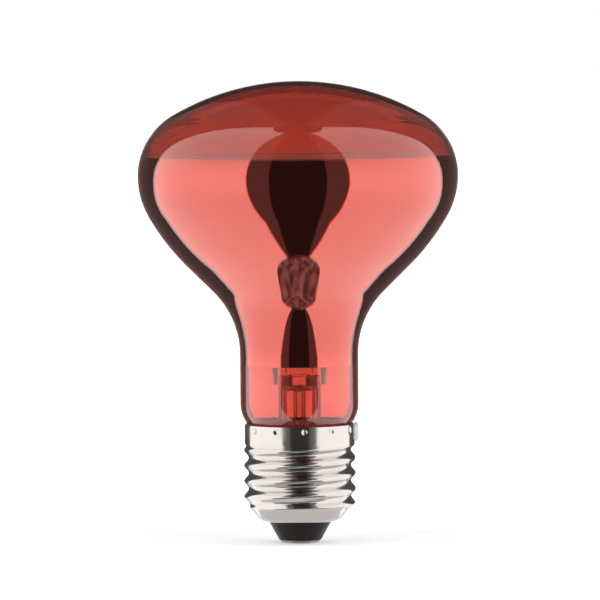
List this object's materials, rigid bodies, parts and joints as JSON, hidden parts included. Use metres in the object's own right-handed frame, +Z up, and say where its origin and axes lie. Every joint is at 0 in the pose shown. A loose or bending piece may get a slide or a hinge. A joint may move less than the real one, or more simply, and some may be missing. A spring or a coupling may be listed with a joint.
{
  "type": "infrared heat lamp bulb",
  "caption": "Reflector heat lamp: blown ruby glass bulb with a clear dome and a mirrored cone and neck, glass mount and coiled filament inside, on a screw cap",
  "frame": {"origin": "tip of the solder on the centre contact, the lowest point, on the lamp's axis", "axes": "+Z up the lamp's axis from the cap to the dome, +X towards the side solder, -Y towards the viewer of the picture"},
  "size_m": [0.0756, 0.0756, 0.1089],
  "materials": {
    "ruby_glass": "blown ruby red glass, smooth and glossy",
    "clear_glass": "clear lead glass",
    "mirror_film": "metal film evaporated on the inner wall of the bulb, seen red through the glass",
    "nickel_wire": "drawn nickel",
    "copper_wire": "drawn copper",
    "molybdenum_wire": "drawn molybdenum",
    "tungsten": "coiled tungsten",
    "nickel_plate": "bright nickel plate on rolled brass",
    "black_glass": "black insulating glass",
    "tinned_contact": "tinned brass",
    "solder": "soft solder",
    "cement": "baked capping cement"
  },
  "bodies": {
    "root": {"glass_envelope": "ruby_glass", "glass_stem": "clear_glass", "inner_lead_left": "nickel_wire", "inner_lead_right": "nickel_wire", "seal_wire_left": "copper_wire", "seal_wire_right": "copper_wire", "outer_lead_centre": "copper_wire", "outer_lead_side": "copper_wire", "support_wire_1": "molybdenum_wire", "support_wire_2": "molybdenum_wire", "support_wire_3": "molybdenum_wire", "support_wire_4": "molybdenum_wire", "filament": "tungsten", "cap_shell": "nickel_plate", "cap_insulator": "black_glass", "centre_contact": "tinned_contact", "centre_solder": "solder", "side_solder": "solder", "capping_cement": "cement"}
  },
  "joints": []
}
